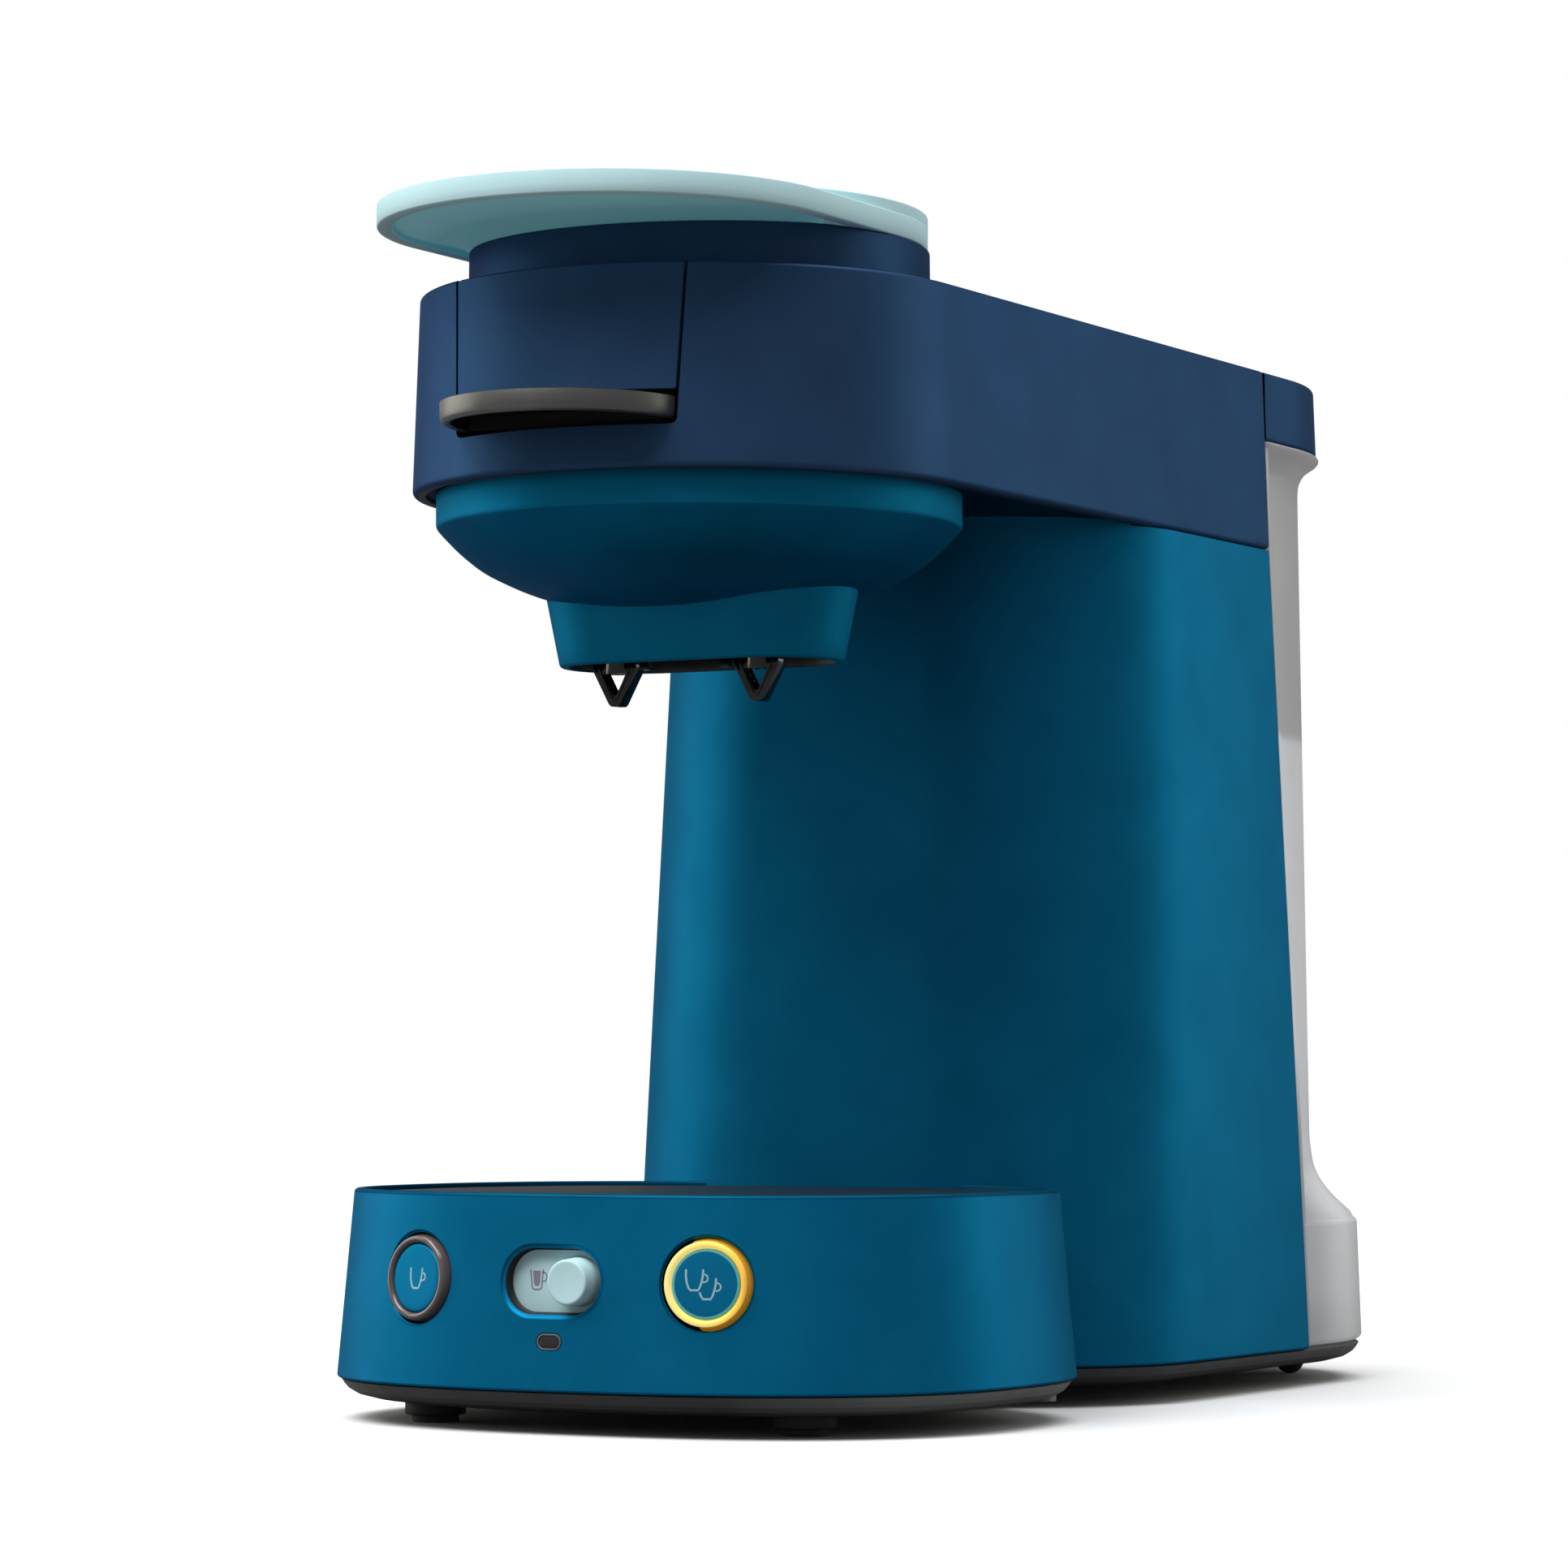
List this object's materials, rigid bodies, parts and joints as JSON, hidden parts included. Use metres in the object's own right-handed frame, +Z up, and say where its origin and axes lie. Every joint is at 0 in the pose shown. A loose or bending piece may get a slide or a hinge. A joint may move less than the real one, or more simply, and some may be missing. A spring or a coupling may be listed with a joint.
{
  "type": "pod coffee machine",
  "caption": "Two-cup pod coffee machine with a brew head on an arm, a flat lever, a hinged lid, a clear rear water tank and a drip tray.",
  "frame": {"origin": "middle of the footprint box, on the plane that the feet stand on", "axes": "+Z up, the front with the controls faces -Y, +X to the machine's side at the right hand of someone who stands in front of it"},
  "size_m": [0.1458, 0.3156, 0.2402],
  "materials": {
    "navy_plastic": "satin moulded",
    "teal_plastic": "satin moulded",
    "teal_bowl": "satin moulded",
    "dark_teal": "satin moulded",
    "aqua_plastic": "satin moulded",
    "grip_plastic": "satin, bronze grey",
    "tank_plastic": "frosted translucent",
    "base_plastic": "fine texture",
    "black_plastic": "satin moulded",
    "foot_rubber": "matt",
    "steel": "brushed",
    "boiler_metal": "cast",
    "hose_silicone": "milky",
    "circuit_board": "solder mask",
    "white_plastic": "moulded",
    "ring_dark": "unlit light ring",
    "ring_lit": "lit light ring"
  },
  "bodies": {
    "frame": {"base_plate": "base_plastic", "foot_front_left": "foot_rubber", "foot_front_right": "foot_rubber", "foot_rear_left": "foot_rubber", "foot_rear_right": "foot_rubber", "base_screw_front_left": "steel", "base_screw_front_right": "steel", "base_screw_rear_left": "steel", "base_screw_rear_right": "steel", "drum_shell": "teal_plastic", "tray_deck": "base_plastic", "indicator_lens": "black_plastic", "control_board": "circuit_board", "column_shell": "teal_plastic", "head_shell": "navy_plastic", "head_underside": "dark_teal", "coffee_collector": "teal_bowl", "spout_insert": "black_plastic", "nozzle_left": "black_plastic", "nozzle_right": "black_plastic", "brew_chamber": "black_plastic", "front_lining": "black_plastic", "pad_holder": "black_plastic", "hinge_bracket": "navy_plastic", "lid_pin": "steel", "boiler": "boiler_metal", "boiler_cover": "boiler_metal", "thermostat_upper": "steel", "thermostat_lower": "steel", "pump": "steel", "pump_mount_left": "foot_rubber", "pump_mount_right": "foot_rubber", "hose_inlet": "hose_silicone", "hose_rising": "hose_silicone", "hose_head": "hose_silicone", "main_board": "circuit_board", "cord_gland": "black_plastic", "tank_seat": "black_plastic"},
    "lid": {"lid_collar": "navy_plastic", "lid_panel": "navy_plastic", "lid_grip": "grip_plastic", "shower_plate": "steel", "lid_seal": "foot_rubber", "lever_pin": "steel"},
    "lever": {"lever": "aqua_plastic"},
    "tank": {"water_tank": "tank_plastic", "valve_cage": "white_plastic", "tank_lid_pin": "steel"},
    "tank_lid": {"tank_lid": "navy_plastic"},
    "tank_valve_plunger": {"valve_plunger": "white_plastic"},
    "tray": {"drip_tray": "black_plastic"},
    "grid": {"cup_grid": "black_plastic"},
    "button_one": {"button_one_cap": "teal_plastic", "button_one_ring": "ring_dark"},
    "button_two": {"button_two_cap": "teal_plastic", "button_two_ring": "ring_lit"},
    "selector": {"selector_slider": "aqua_plastic"}
  },
  "joints": [
    {"name": "lid_hinge", "type": "hinge", "parent": "frame", "child": "lid", "pos_m": [0, -0.02476, 0.2295], "axis": [-1, 0, 0], "range_deg": [0, 80]},
    {"name": "lever_hinge", "type": "hinge", "parent": "lid", "child": "lever", "pos_m": [0, -0.03638, 0.22925], "axis": [-1, 0, 0], "range_deg": [0, 20]},
    {"name": "tank_lift", "type": "slide", "parent": "frame", "child": "tank", "axis": [0, 0, 1], "range_m": [0, 0.06]},
    {"name": "tank_lid_hinge", "type": "hinge", "parent": "tank", "child": "tank_lid", "pos_m": [0, 0.07503, 0.22094], "axis": [1, 0, 0], "range_deg": [0, 75]},
    {"name": "valve_plunger_slide", "type": "slide", "parent": "tank", "child": "tank_valve_plunger", "axis": [0, 0, 1], "range_m": [0, 0.0018], "stiffness_N_per_m": 150, "springref_m": -0.001},
    {"name": "tray_lift", "type": "slide", "parent": "frame", "child": "tray", "axis": [0, 0, 1], "range_m": [0, 0.038]},
    {"name": "grid_lift", "type": "slide", "parent": "tray", "child": "grid", "axis": [0, 0, 1], "range_m": [0, 0.02]},
    {"name": "button_one_press", "type": "slide", "parent": "frame", "child": "button_one", "axis": [0.2698, 0.9599, -0.0767], "range_m": [0, 0.0013], "stiffness_N_per_m": 800, "springref_m": -0.001},
    {"name": "button_two_press", "type": "slide", "parent": "frame", "child": "button_two", "axis": [-0.2698, 0.9599, -0.0767], "range_m": [0, 0.0013], "stiffness_N_per_m": 800, "springref_m": -0.001},
    {"name": "selector_slide", "type": "slide", "parent": "frame", "child": "selector", "axis": [-1, 0, 0], "range_m": [0, 0.0096]}
  ]
}
